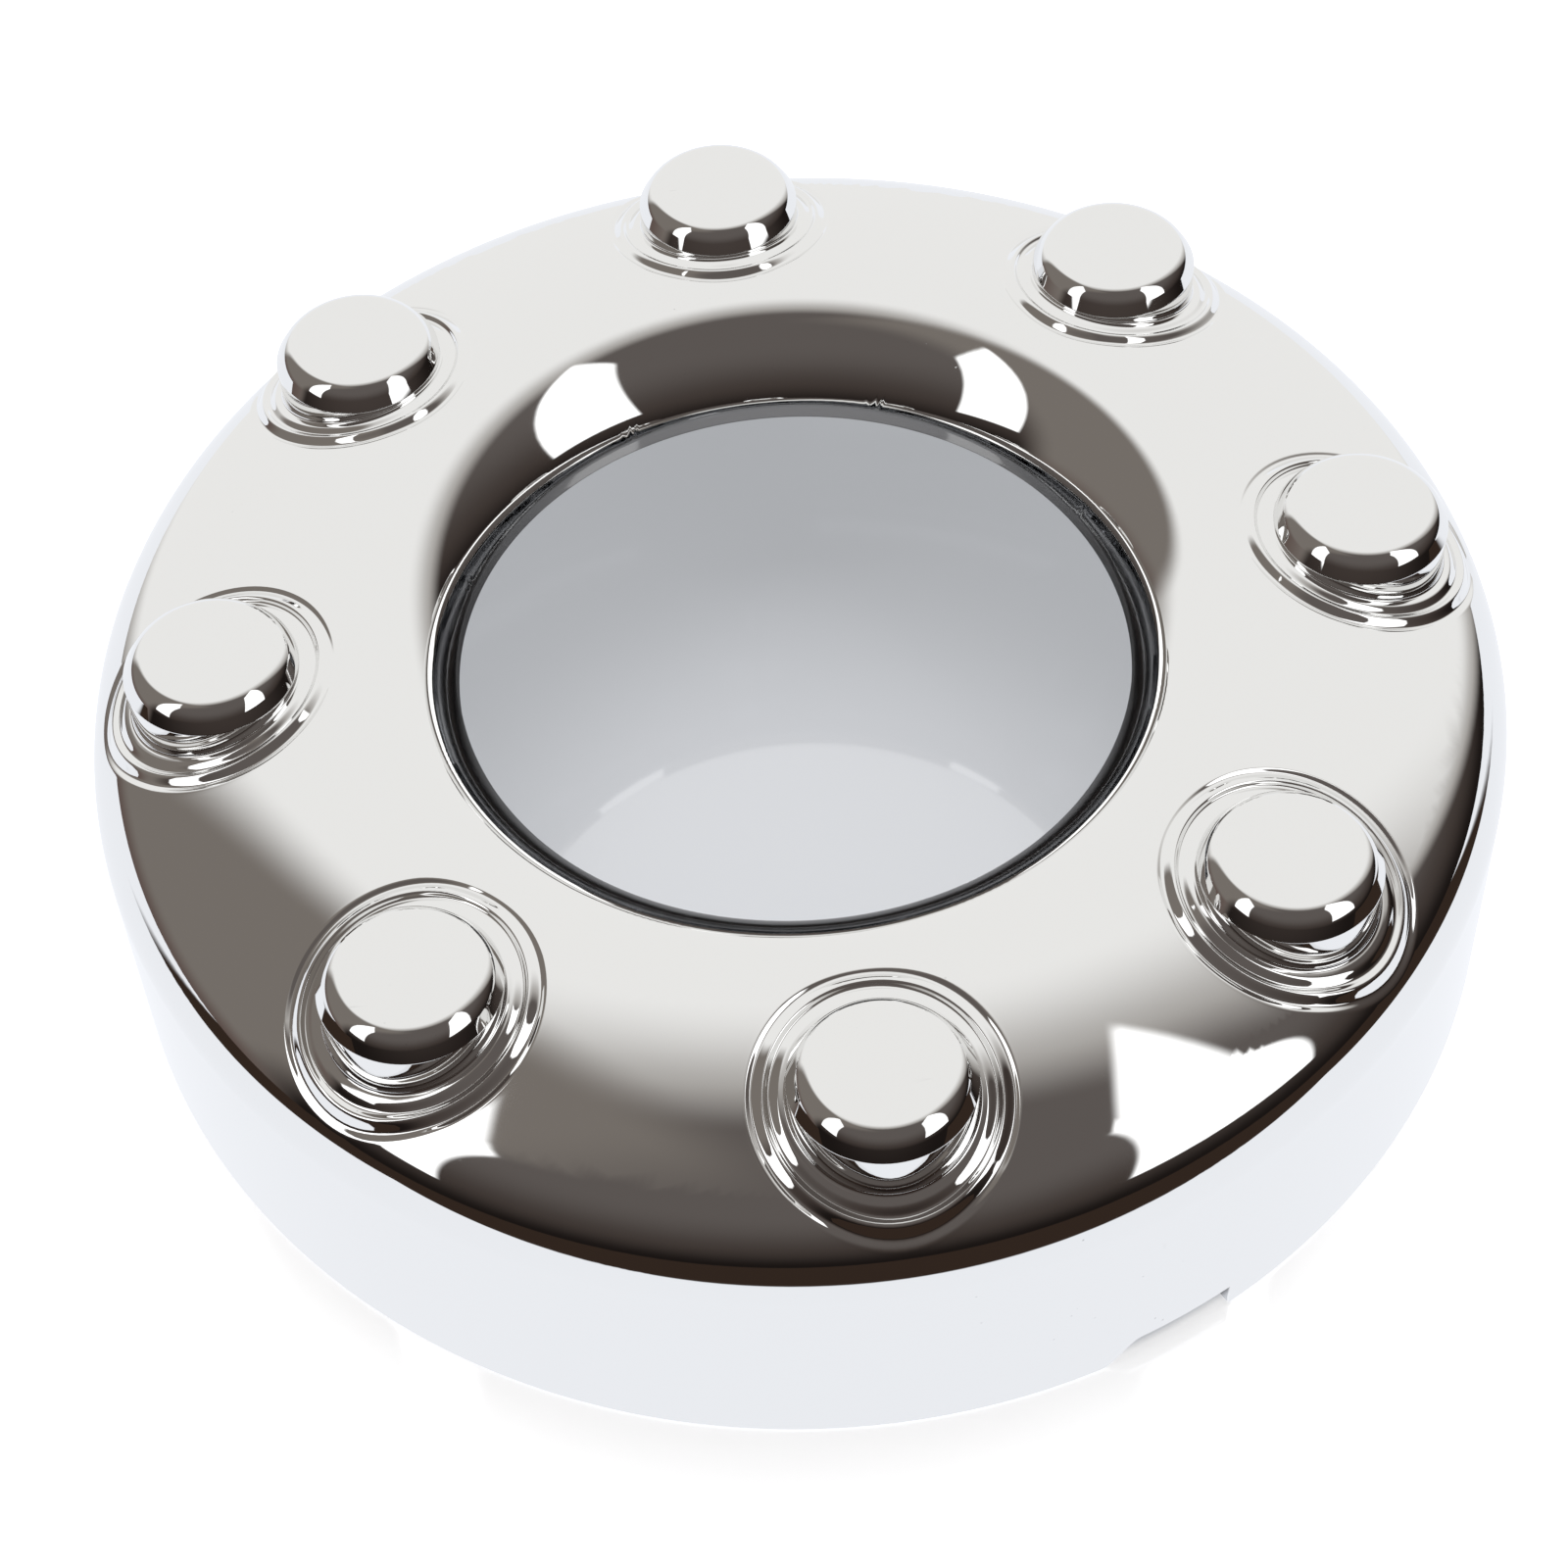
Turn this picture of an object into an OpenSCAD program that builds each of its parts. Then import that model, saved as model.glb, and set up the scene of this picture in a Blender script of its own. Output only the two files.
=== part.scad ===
/* [Footprint] */
// Outer diameter of the skirt at its open lower edge
base_dia = 250; // [246:1:256]
// How much the skirt draws in, on the radius, from its lower edge to the shoulder
skirt_draft = 0.5; // [0.2:0.1:1.2]
// Height at which the straight skirt turns into the rounded shoulder
skirt_height = 41; // [39:0.5:43]
// Thickness of the moulded wall
wall = 2.6; // [2.2:0.1:3]

/* [Ring top] */
// Radius of the rounded outer shoulder
shoulder_radius = 16.5; // [15:0.5:18]
// Radius of the shallow crown between the shoulder and the crest
crown_radius = 150; // [120:5:200]
// How far the crest, the highest line of the ring, lies outside the edge of the hole
crest_offset = 21.1; // [20.5:0.1:21.8]
// Height of the crest above the lower edge
crest_height = 65; // [64:0.2:66]
// How far the middle of the lip's rounding lies below the crest
lip_drop = 15; // [14.4:0.1:15.6]
// Diameter of the open centre hole
hole_dia = 118.4; // [117:0.2:120]
// Radius that rounds the inner slope into the wall of the hole
lip_radius = 3.4; // [3.2:0.1:4]
// Length of the straight wall that hangs down below the lip's rounding
lip_wall_length = 2.6; // [2:0.1:4]

/* [Lug nut covers] */
// Number of lug nuts
lug_count = 8; // [6:1:8]
// Diameter of the circle that the lug nuts stand on
lug_circle_dia = 200; // [198:0.5:202]
// Outer diameter of one nut cover
cover_dia = 30; // [29.4:0.1:30.6]
// Height of the flat top of a cover above the ring's crest
cover_rise = 4.7; // [4.2:0.1:6]
// Width of the sloping edge between the flat top and the side
cover_bevel_width = 2.5; // [2:0.1:3]
// Height of that sloping edge
cover_bevel_height = 4; // [3.6:0.1:4.4]
// Rounding between the flat top and the sloping edge
cover_rounding = 2.5; // [2:0.1:3]
// Bore of the pocket that drops over a nut
pocket_dia = 24.5; // [24:0.1:24.8]
// Thickness of the roof over the pocket
pocket_roof = 2.6; // [2.2:0.1:3]
// Height of the lower end of the pocket's sleeve above the lower edge
sleeve_bottom = 34; // [28:0.5:40]

/* [Raised rings round each cover] */
// How far the two rings stand above the curved surface
ripple_height = 0.9; // [0.6:0.1:1.2]
// Outer radius of the outer ring
ripple_outer = 21.1; // [20.6:0.1:21.6]
// Width of the outer ring
ripple_width = 2.4; // [2:0.1:2.8]
// Outer radius of the inner ring, which stands against the cover's side
collar_outer = 16.6; // [16.2:0.1:17]

/* [Skirt notch] */
// Angle of the notch's middle from the X axis
notch_angle = -69; // [-72:0.5:-66]
// Width of the notch along the lower edge
notch_width = 25; // [20:0.5:28]
// Height of the notch
notch_height = 5.4; // [4.6:0.2:6]
// Length of the S-shaped ramp at one end of the notch
notch_ramp = 7; // [6:0.5:9]

/* [Stiffening ribs] */
// Thickness of one rib
rib_thickness = 2; // [1.6:0.1:2.4]
// Height of the lower edge of the ribs above the skirt's lower edge
rib_bottom = 40; // [36:0.5:41]

/* [Hidden] */
$fn = 180;
overlap = 0.5;
cut_past = 4;
tube_low = 45;
// Neighbouring arcs overlap by this much, so that each one crosses the next at a clear point
blend = 0.01;
// How far the inner slope's arc runs on under the crown
run_on = 8;

base_r = base_dia / 2;
skirt_top_r = base_r - skirt_draft;
hole_r = hole_dia / 2;
crest_r = hole_r + crest_offset;
lug_r = lug_circle_dia / 2;
lug_step = 360 / lug_count;
cover_r = cover_dia / 2;
pocket_r = pocket_dia / 2;
cover_height = crest_height + cover_rise;

// Centres of the four arcs of the section; each arc runs smoothly into the next
shoulder_c = [skirt_top_r - shoulder_radius + blend, skirt_height];
lip_c = [hole_r + lip_radius - blend, crest_height - lip_drop];
lip_bottom = lip_c[1] - lip_wall_length;
slope_run = crest_r - lip_c[0];
// Radius of the inner slope: level at the crest and just touching the lip's rounding
funnel_radius = (pow(slope_run, 2) + pow(lip_drop, 2) - pow(lip_radius, 2)) / (2 * (lip_drop - lip_radius));
funnel_c = [crest_r, crest_height - funnel_radius];
gap = funnel_c - shoulder_c;
gap_len = norm(gap);
gap_dir = gap / gap_len;
to_shoulder = crown_radius - shoulder_radius;
to_funnel = crown_radius - funnel_radius;
along = (pow(gap_len, 2) + pow(to_shoulder, 2) - pow(to_funnel, 2)) / (2 * gap_len);
across = sqrt(pow(to_shoulder, 2) - pow(along, 2));
crown_c = shoulder_c + along * gap_dir + across * [-gap_dir[1], gap_dir[0]];

// Angles at which one arc hands over to the next, from the outward direction upwards
shoulder_end = turn(shoulder_c - crown_c);
funnel_start = turn(funnel_c - crown_c);
funnel_end = turn(lip_c - funnel_c);

// S-shaped ramp of the notch: two equal arcs that meet in its middle
ramp_turn = 2 * atan2(notch_height, notch_ramp);
ramp_r = notch_ramp / (2 * sin(ramp_turn));

// Direction angle of a vector of the section
function turn(v) = atan2(v[1], v[0]);

// Point at a distance and an angle from a centre of the section
function off(c, r, a) = c + r * [cos(a), sin(a)];

// Points along an arc of the section, both ends included
function arc(c, r, from, to, steps) =
    [for (i = [0 : steps]) off(c, r, from + (to - from) * i / steps)];

// Everything under the ring's surface, set in by a distance and cut off at a height
module under_skin(inset, low) {
    core_top = [
        shoulder_c + [0, shoulder_radius / 3],
        funnel_c + [0, funnel_radius / 3],
        off(funnel_c, funnel_radius - 2 * lip_radius, funnel_end - run_on),
        lip_c - [0, lip_radius / 8]
    ];
    polygon(concat(
        [
            [hole_r + inset, lip_c[1]],
            [hole_r + inset, low],
            [base_r - inset - skirt_draft * low / skirt_height, low],
            [skirt_top_r - inset, skirt_height]
        ],
        core_top
    ));
    translate(shoulder_c) circle(shoulder_radius - inset);
    translate(lip_c) circle(lip_radius - inset);
    intersection() {
        translate(funnel_c) circle(funnel_radius - blend - inset);
        polygon(concat(
            [funnel_c],
            arc(funnel_c, 2 * funnel_radius, funnel_start - run_on, funnel_end, 2)
        ));
    }
    intersection() {
        translate(crown_c) circle(crown_radius - 2 * blend - inset);
        polygon([
            off(crown_c, to_shoulder - run_on, shoulder_end),
            off(crown_c, 2 * crown_radius, shoulder_end),
            off(crown_c, 2 * crown_radius, funnel_start),
            off(crown_c, to_funnel - run_on, funnel_start)
        ]);
    }
}

// The moulded ring's section: skirt, shoulder, crown, inner slope and lip in one wall thickness
module ring_section() {
    difference() {
        under_skin(0, 0);
        under_skin(wall, -cut_past);
        translate([hole_r - cut_past, -cut_past])
            square([cut_past + wall + overlap, lip_bottom + cut_past]);
    }
}

// Puts its children on every lug nut's axis
module at_lugs(radius) {
    for (i = [0 : lug_count - 1])
        rotate([0, 0, i * lug_step])
            translate([radius, 0, 0])
                children();
}

// Outside of a nut cover and its sleeve: straight side, sloping edge, rounded rim and flat top
module cover_body() {
    slope = atan2(cover_bevel_height, cover_bevel_width);
    flat_r = cover_r - cover_bevel_width;
    round_c = [flat_r - cover_rounding * tan(slope / 2), cover_height - cover_rounding];
    rotate_extrude()
        polygon(concat(
            [
                [0, sleeve_bottom],
                [cover_r, sleeve_bottom],
                [cover_r, cover_height - cover_bevel_height]
            ],
            arc(round_c, cover_rounding, 90 - slope, 90, 4),
            [[0, cover_height]]
        ));
}

// Pocket inside a nut cover, open below, with the sloping edge repeated under the roof
module pocket() {
    roof_z = cover_height - pocket_roof;
    rotate_extrude()
        polygon([
            [0, sleeve_bottom - cut_past],
            [pocket_r, sleeve_bottom - cut_past],
            [pocket_r, roof_z - cover_bevel_height],
            [pocket_r - cover_bevel_width, roof_z],
            [0, roof_z]
        ]);
}

// Upright tube that outlines one raised ring
module ripple_tube(outer, width) {
    tall = cover_height - cover_bevel_height - tube_low + 1;
    translate([0, 0, tube_low])
        difference() {
            cylinder(h = tall, r = outer);
            translate([0, 0, -1]) cylinder(h = tall + 2, r = outer - width);
        }
}

// Two raised rings round every nut cover that follow the curved surface at an even height
module ripples() {
    intersection() {
        at_lugs(lug_r) {
            ripple_tube(ripple_outer, ripple_width);
            ripple_tube(collar_outer, collar_outer - cover_r + overlap);
        }
        rotate_extrude()
            difference() {
                under_skin(-ripple_height, 0);
                under_skin(wall / 2, -cut_past);
            }
    }
}

// Stiffening rib from the lip past the sleeve to the skirt, its top edge inside the wall
module rib() {
    mid = wall / 2;
    rotate([90, 0, 0])
        linear_extrude(height = rib_thickness, center = true)
            polygon(concat(
                [[skirt_top_r - mid, rib_bottom], [lug_r, rib_bottom], [hole_r + mid, lip_bottom]],
                arc(lip_c, lip_radius - mid, 180, funnel_end, 2),
                arc(funnel_c, funnel_radius - mid, funnel_end, funnel_start, 5),
                arc(crown_c, crown_radius - mid, funnel_start, shoulder_end, 2),
                arc(shoulder_c, shoulder_radius - mid, shoulder_end, 0, 5)
            ));
}

// Notch in the lower edge: square at one end, an S-shaped ramp at the other
module notch() {
    left = -notch_width / 2;
    right = notch_width / 2;
    ramp_end = left + notch_ramp;
    middle = [left + notch_ramp / 2, notch_height / 2];
    rotate([0, 0, notch_angle])
        translate([base_r - 2 * wall, 0, 0])
            rotate([90, 0, 90])
                linear_extrude(height = 2 * wall + cut_past)
                    polygon(concat(
                        [[right, notch_height], [right, -cut_past], [left, -cut_past]],
                        arc([left, ramp_r], ramp_r, -90, ramp_turn - 90, 4),
                        arc([ramp_end, notch_height - ramp_r], ramp_r, ramp_turn + 90, 90, 4)
                    ));
}

module cap_shell() {
    color([0.80, 0.82, 0.85])
        difference() {
            union() {
                rotate_extrude() ring_section();
                at_lugs(lug_r) cover_body();
                ripples();
                for (i = [0 : lug_count - 1])
                    rotate([0, 0, i * lug_step])
                        rib();
            }
            at_lugs(lug_r) pocket();
            notch();
        }
}

cap_shell();
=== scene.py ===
# %% [markdown]
# Bright-plated wheel centre cap
#
# The cap is one plastic moulding with a mirror plating: a straight skirt, a rounded shoulder,
# a gently crowned ring, an inner slope with a turned-in lip, and a cover over every wheel nut.
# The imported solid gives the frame. The looks model repeats its sizes and adds what a mirror
# needs: rounded rings, fillets at every corner, and normals that follow the true curves.

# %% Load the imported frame
import math
import bpy
import bmesh
import numpy as np
from mathutils import Matrix, Vector


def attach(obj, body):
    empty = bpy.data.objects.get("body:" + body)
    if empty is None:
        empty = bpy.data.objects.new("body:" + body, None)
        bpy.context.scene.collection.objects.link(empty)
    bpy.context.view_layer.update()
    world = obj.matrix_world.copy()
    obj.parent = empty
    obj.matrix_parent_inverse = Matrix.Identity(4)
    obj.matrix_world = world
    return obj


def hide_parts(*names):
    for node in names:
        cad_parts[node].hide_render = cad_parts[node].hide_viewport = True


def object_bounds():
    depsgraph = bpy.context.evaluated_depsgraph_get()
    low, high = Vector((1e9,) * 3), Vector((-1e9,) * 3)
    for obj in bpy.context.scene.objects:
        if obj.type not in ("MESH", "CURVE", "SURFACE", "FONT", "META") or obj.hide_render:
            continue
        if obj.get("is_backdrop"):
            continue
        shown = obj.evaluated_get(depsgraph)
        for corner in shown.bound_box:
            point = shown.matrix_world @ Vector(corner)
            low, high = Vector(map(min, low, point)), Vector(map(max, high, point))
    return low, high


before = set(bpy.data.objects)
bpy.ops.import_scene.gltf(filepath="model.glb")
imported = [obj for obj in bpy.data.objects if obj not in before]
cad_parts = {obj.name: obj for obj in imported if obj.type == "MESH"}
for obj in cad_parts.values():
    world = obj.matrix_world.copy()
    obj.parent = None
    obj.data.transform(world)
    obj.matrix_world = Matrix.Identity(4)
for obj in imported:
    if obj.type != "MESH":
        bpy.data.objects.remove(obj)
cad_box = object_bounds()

print("nodes in the frame:", sorted(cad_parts))

# %% [markdown]
# The sizes are those of the part's source, in millimetres. The shape could be traced from a
# picture by hand, but a cap that has to fit its wheel is safer built from named sizes. One of
# them differs from the solid's: the rim of a cover is rounder here, because the plating on
# the real one mirrors a broad, soft rim.

# %% Sizes of the moulding
MM = 0.001
BASE_R = 125.0
SKIRT_TOP_R = 124.5
SKIRT_H = 41.0
WALL = 2.6
SHOULDER_R = 16.5
CROWN_R = 150.0
CREST_R = 80.3
CREST_H = 65.0
LIP_DROP = 15.0
HOLE_R = 59.2
LIP_R = 3.4
LIP_BOTTOM = 47.4
LUGS = 8
LUG_R = 100.0
COVER_R = 15.0
COVER_H = 69.7
BEVEL_W = 2.5
BEVEL_H = 4.0
COVER_ROUND = 4.5
POCKET_R = 12.25
ROOF = 2.6
SLEEVE_BOTTOM = 34.0
NOTCH_AZ = -69.0
NOTCH_W = 25.0
NOTCH_H = 5.4
NOTCH_RAMP = 7.0
RIB_T = 2.0
RIB_BOTTOM = 40.0
print("base %.0f mm wide, covers %.1f mm high" % (2 * BASE_R, COVER_H))

# %% [markdown]
# The cap's section is a chain of arcs, each one running smoothly into the next: the rounding
# of the lip, the inner slope, the crown and the shoulder. A curve with handles could follow
# them by eye. Worked out from their radii they join without a kink, and every point of the
# table below knows its normal, so the inner skin is the same table set in by the wall.

# %% Section of the ring
shoulder_c = np.array([SKIRT_TOP_R - SHOULDER_R, SKIRT_H])
lip_c = np.array([HOLE_R + LIP_R, CREST_H - LIP_DROP])
slope_run = CREST_R - lip_c[0]
FUNNEL_R = (slope_run ** 2 + LIP_DROP ** 2 - LIP_R ** 2) / (2 * (LIP_DROP - LIP_R))
funnel_c = np.array([CREST_R, CREST_H - FUNNEL_R])
gap = funnel_c - shoulder_c
gap_len = np.hypot(*gap)
reach_s = CROWN_R - SHOULDER_R
reach_f = CROWN_R - FUNNEL_R
along = (gap_len ** 2 + reach_s ** 2 - reach_f ** 2) / (2 * gap_len)
across = math.sqrt(reach_s ** 2 - along ** 2)
gap_dir = gap / gap_len
crown_c = shoulder_c + along * gap_dir + across * np.array([-gap_dir[1], gap_dir[0]])


def turn(v):
    """Direction of a vector of the section, in degrees."""
    return math.degrees(math.atan2(v[1], v[0]))


SHOULDER_END = turn(shoulder_c - crown_c)
FUNNEL_START = turn(funnel_c - crown_c)
FUNNEL_END = turn(lip_c - funnel_c)
ARCS = [
    (lip_c, LIP_R, 180.0, FUNNEL_END),
    (funnel_c, FUNNEL_R, FUNNEL_END, FUNNEL_START),
    (crown_c, CROWN_R, FUNNEL_START, SHOULDER_END),
    (shoulder_c, SHOULDER_R, SHOULDER_END, 0.0),
]
ROWS_PER_DEGREE_MM = 0.5
LEAST_ROWS = 8
SAME_POINT = 1e-9


def walk_section():
    """Length from lip to skirt, with radius, height and normal of the section at each length."""
    rows = []
    for c, r, a0, a1 in ARCS:
        n = max(LEAST_ROWS, int(ROWS_PER_DEGREE_MM * abs(a1 - a0) * r))
        for a in np.radians(np.linspace(a0, a1, n)):
            rows.append((c[0] + r * math.cos(a), c[1] + r * math.sin(a), math.cos(a), math.sin(a)))
    t = np.array(rows)
    step = np.hypot(np.diff(t[:, 0]), np.diff(t[:, 1]))
    s = np.concatenate([[0.0], np.cumsum(step)])
    keep = np.concatenate([[True], step > SAME_POINT])
    return s[keep], t[keep]


SEC_S, SEC = walk_section()
S_END = SEC_S[-1]
print("section of the top: %.1f mm long, crest at %.1f mm" % (S_END, SEC[:, 1].max()))

# %% [markdown]
# Loops could stand at even lengths along the section, but a mirror shows the flats in a tight
# bend. So a second measure also counts how far the surface has turned. An even share of it is
# a short step in the shoulder and the lip, and a long one on the flat crown.

# %% Steps along the section
TURN_WEIGHT = 10.0
turned = np.abs(np.diff(np.unwrap(np.arctan2(SEC[:, 3], SEC[:, 2]))))
SEC_P = SEC_S + TURN_WEIGHT * np.concatenate([[0.0], np.cumsum(turned)])


def section_at(s):
    """Radius, height and normal of the outer surface at a length along its section."""
    return [np.interp(s, SEC_S, SEC[:, i]) for i in range(4)]


def length_at_radius(r):
    """Length along the section at which the top surface reaches a radius."""
    return np.interp(r, SEC[:, 0], SEC_S)


def between_lengths(s0, s1, t):
    """Length at a share of the way from one length to another, in the turning measure."""
    p0, p1 = np.interp(s0, SEC_S, SEC_P), np.interp(s1, SEC_S, SEC_P)
    return np.interp(p0 + (p1 - p0) * t, SEC_P, SEC_S)


print("turning adds %.0f mm to the measure" % (SEC_P[-1] - S_END))

# %% [markdown]
# Two raised rings lie round each cover. Each one rises slowly towards the cover and drops
# steeply on its inner side, like a saw tooth with every corner rounded. A bump texture could
# shade them, but would leave the mesh smooth. So they are real height: marks of distance from
# the cover's axis and height, joined by lines, and rounded by a running mean.

# %% Rings round a cover
RING_MARKS = [
    (14.6, 0.55), (16.3, 0.55), (17.65, -0.08), (17.85, -0.08), (18.5, 0.62), (18.8, 0.62),
    (20.35, -0.38), (20.5, -0.38), (21.35, 0.03), (21.6, 0.0), (26.0, 0.0),
]
CORNER_ROUND = 0.2
RING_FROM, RING_TO, RING_STEP = 13.0, 26.0, 0.02
MEAN_REACH = 0.6


def round_corners():
    """Fine table of the rings' height with its corners rounded by a running mean."""
    rho = np.arange(RING_FROM, RING_TO, RING_STEP)
    marks = np.array(RING_MARKS)
    height = np.interp(rho, marks[:, 0], marks[:, 1])
    u = np.arange(-MEAN_REACH, MEAN_REACH + RING_STEP / 2, RING_STEP)
    weight = np.exp(-0.5 * (u / CORNER_ROUND) ** 2)
    padded = np.pad(height, len(u) // 2, mode="edge")
    return rho, np.convolve(padded, weight / weight.sum(), mode="valid")


RING_RHO, RING_HEIGHT = round_corners()


def on_top(s, az, lift):
    """Points of the ring at section lengths and azimuths, lifted off it, with their normals."""
    r, z, nr, nz = section_at(s)
    rr = r + lift * nr
    return np.stack([rr * np.cos(az), rr * np.sin(az), z + lift * nz,
                     nr * np.cos(az), nr * np.sin(az), nz], axis=-1)


print("rings: highest %.2f mm, lowest %.2f mm" % (RING_HEIGHT.max(), RING_HEIGHT.min()))

# %% [markdown]
# The ring with its covers could be joined from many solids by Booleans, which leaves long thin
# triangles that a mirror shows. Here each eighth is one net of closed loops that grow from the
# middle of a cover out to the edges of the eighth. Its rim points come first: the outer edge
# meets the skirt, the inner edge the lip, and the straight sides the neighbours.

# %% Eighths of the ring
STEP_DEG = 360.0 / LUGS
HALF_DEG = STEP_DEG / 2
FIRST_MID = -90.0
MIDS = [FIRST_MID + STEP_DEG * k for k in range(LUGS)]
print("middles of the eighths:", MIDS)

# %% [markdown]
# The skirt's lower edge has one notch, square at one end and with an S-shaped ramp at the
# other. It is probably where a lever goes in to prise the cap off. A Boolean could cut it, but
# its edges would not follow the net. So the lower edge simply rises there, and the columns
# above it are placed on the notch's corners and ramp.

# %% Notch in the skirt
RAMP_POINTS = 8
NOTCH_CORNER = 0.02


def ramp_height(t):
    """Height of the notch's S-shaped ramp at a share of its length."""
    t = np.clip(t, 0, 1)
    return NOTCH_H * t * t * (3 - 2 * t)


def edge_height(az):
    """Height of the skirt's lower edge at an azimuth in degrees."""
    u = math.radians(az - NOTCH_AZ) * BASE_R
    left, right = -NOTCH_W / 2, NOTCH_W / 2
    if u <= left or u >= right:
        return 0.0
    return float(ramp_height((u - left) / NOTCH_RAMP))


def notch_azimuth(mm):
    """Azimuth in degrees at a distance along the skirt from the notch's middle."""
    return NOTCH_AZ + math.degrees(mm / BASE_R)


NOTCH_MARKS = [notch_azimuth(-NOTCH_W / 2 + NOTCH_RAMP * i / RAMP_POINTS)
               for i in range(RAMP_POINTS + 1)]
NOTCH_MARKS += [notch_azimuth(NOTCH_W / 2 + side * NOTCH_CORNER) for side in (-1, 1)]
print("marks on the notch:", len(NOTCH_MARKS))

# %% [markdown]
# The rim's points are spread evenly, so that neighbours meet point for point. Above the notch
# the even points that are too near one of its marks give way to it, and the widest gaps are
# split until the rim has its number of points again.

# %% Rim of one eighth
N_OUT, N_SIDE, N_IN = 32, 28, 22
END_GAP, MARK_GAP = 0.3, 0.35


def outer_azimuths(mid):
    """Azimuths of the outer rim's points in one eighth, with the notch's marks among them."""
    lo, hi = mid - HALF_DEG, mid + HALF_DEG
    marks = [m for m in NOTCH_MARKS if lo + END_GAP < m < hi - END_GAP]
    if not marks:
        return np.linspace(lo, hi, N_OUT + 1)
    even = np.linspace(lo, hi, N_OUT + 1 - len(marks))
    free = [a for a in even if lo < a < hi and min(abs(a - m) for m in marks) > MARK_GAP]
    az = sorted([lo, hi] + free + marks)
    while len(az) < N_OUT + 1:
        i = int(np.argmax(np.diff(az)))
        az.insert(i + 1, (az[i] + az[i + 1]) / 2)
    return np.array(az)


def rim(mid):
    """Closed rim of one eighth as section lengths and azimuths, anticlockwise from above."""
    s_side = between_lengths(0.0, S_END, np.linspace(0, 1, N_SIDE + 1))
    out_az = outer_azimuths(mid)
    in_az = np.linspace(mid - HALF_DEG, mid + HALF_DEG, N_IN + 1)
    s = np.concatenate([np.full(len(out_az) - 1, S_END), s_side[::-1][:-1],
                        np.zeros(N_IN), s_side[:-1]])
    az = np.concatenate([out_az[:-1], np.full(N_SIDE, mid + HALF_DEG),
                         in_az[::-1][:-1], np.full(N_SIDE, mid - HALF_DEG)])
    return s, np.radians(az)


print("points round one rim:", len(rim(MIDS[0])[0]))

# %% [markdown]
# Loops near a cover stand on circles in the plan view, so that the rings stay round. Columns
# run across the loops. If they aimed straight at the rim's points, some rings would look like
# polygons, so they are nearly evenly spread and lean only a little to those points.

# %% Circles on the ring
FOOT_R = 15.5
LEAN_TO_RIM = 0.15
SMALL_STEP = 0.02


def local(mid, x, y):
    """Plan position of a point given along and across the cover's own radius."""
    a = math.radians(mid)
    return x * math.cos(a) - y * math.sin(a), x * math.sin(a) + y * math.cos(a)


def plan_circle(mid, phi, radius):
    """Plan positions on a circle round the cover's axis."""
    return local(mid, LUG_R + radius * np.cos(phi), radius * np.sin(phi))


def spread_angles(mid, s, az):
    """Directions of the columns round the cover."""
    r = section_at(s)[0]
    a = az - math.radians(mid)
    own = np.unwrap(np.arctan2(r * np.sin(a), r * np.cos(a) - LUG_R))
    even = 2 * math.pi * np.arange(len(own)) / len(own)
    even += (own - even).mean()
    return LEAN_TO_RIM * own + (1 - LEAN_TO_RIM) * even


def over_circle(mid, phi, radius, inset, pressed):
    """Points on the surface over a circle, with or without the rings pressed into it."""
    x, y = plan_circle(mid, phi, radius)
    lift = (np.interp(radius, RING_RHO, RING_HEIGHT) if pressed else 0.0) - inset
    return on_top(length_at_radius(np.hypot(x, y)), np.arctan2(y, x), lift)


def ring_loop(mid, phi, radius, inset=0.0, pressed=True):
    """Loop over a circle, with the normal measured from small steps along and across it."""
    def moved(turned_by, out_by):
        """The same loop after a small turn or a small growth."""
        return over_circle(mid, phi + turned_by, radius + out_by, inset, pressed)

    loop = moved(0.0, 0.0)
    outward = moved(0.0, SMALL_STEP) - moved(0.0, -SMALL_STEP)
    small_turn = SMALL_STEP / radius
    round_it = moved(small_turn, 0.0) - moved(-small_turn, 0.0)
    normal = np.cross(outward[:, :3], round_it[:, :3])
    loop[:, 3:] = normal / np.linalg.norm(normal, axis=1)[:, None]
    return loop


first_rim = rim(MIDS[0])
first_phi = spread_angles(MIDS[0], *first_rim)
print("columns round a cover:", len(first_phi))

# %% [markdown]
# Outside the rings the loops turn by steps from a circle into the rim's shape. They could go
# straight across in the plan view, but would then cut the bend of the shoulder. Stepping in
# section length and azimuth keeps every loop on the surface.

# %% Loops from the rings to the rim
def blend_loop(mid, phi, radius, s1, az1, t, inset=0.0):
    """Loop part of the way from a circle to the rim."""
    x, y = plan_circle(mid, phi, radius)
    s0, az0 = length_at_radius(np.hypot(x, y)), np.arctan2(y, x)
    turn_by = (az1 - az0 + math.pi) % (2 * math.pi) - math.pi
    return on_top(between_lengths(s0, s1, t), az0 + turn_by * t, -inset)


half_way = blend_loop(MIDS[0], first_phi, FOOT_R, *first_rim, 0.5)[:, 2]
print("half way to the rim: %.1f to %.1f mm high" % (half_way.min(), half_way.max()))

# %% [markdown]
# A nut cover has a flat top, a rounded rim, a sloping edge, a small rounding below that and a
# straight side. It could be a lathed cup set on the ring. As the inner loops of the same net
# it has no seam, and a fillet leads its side into the ring.

# %% Top of a cover
TOP_RADII = (3.5, 7.5)
RIM_STEPS = 8
COVER_SOFT, SOFT_STEPS = 0.45, 6


def upright_loop(mid, phi, radius, z):
    """Loop on an upright cylinder round the cover's axis, its normal left to its faces."""
    x, y = plan_circle(mid, phi, radius)
    zero = np.zeros_like(x)
    return np.stack([x, y, np.broadcast_to(z, x.shape), zero, zero, zero], axis=-1)


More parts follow.
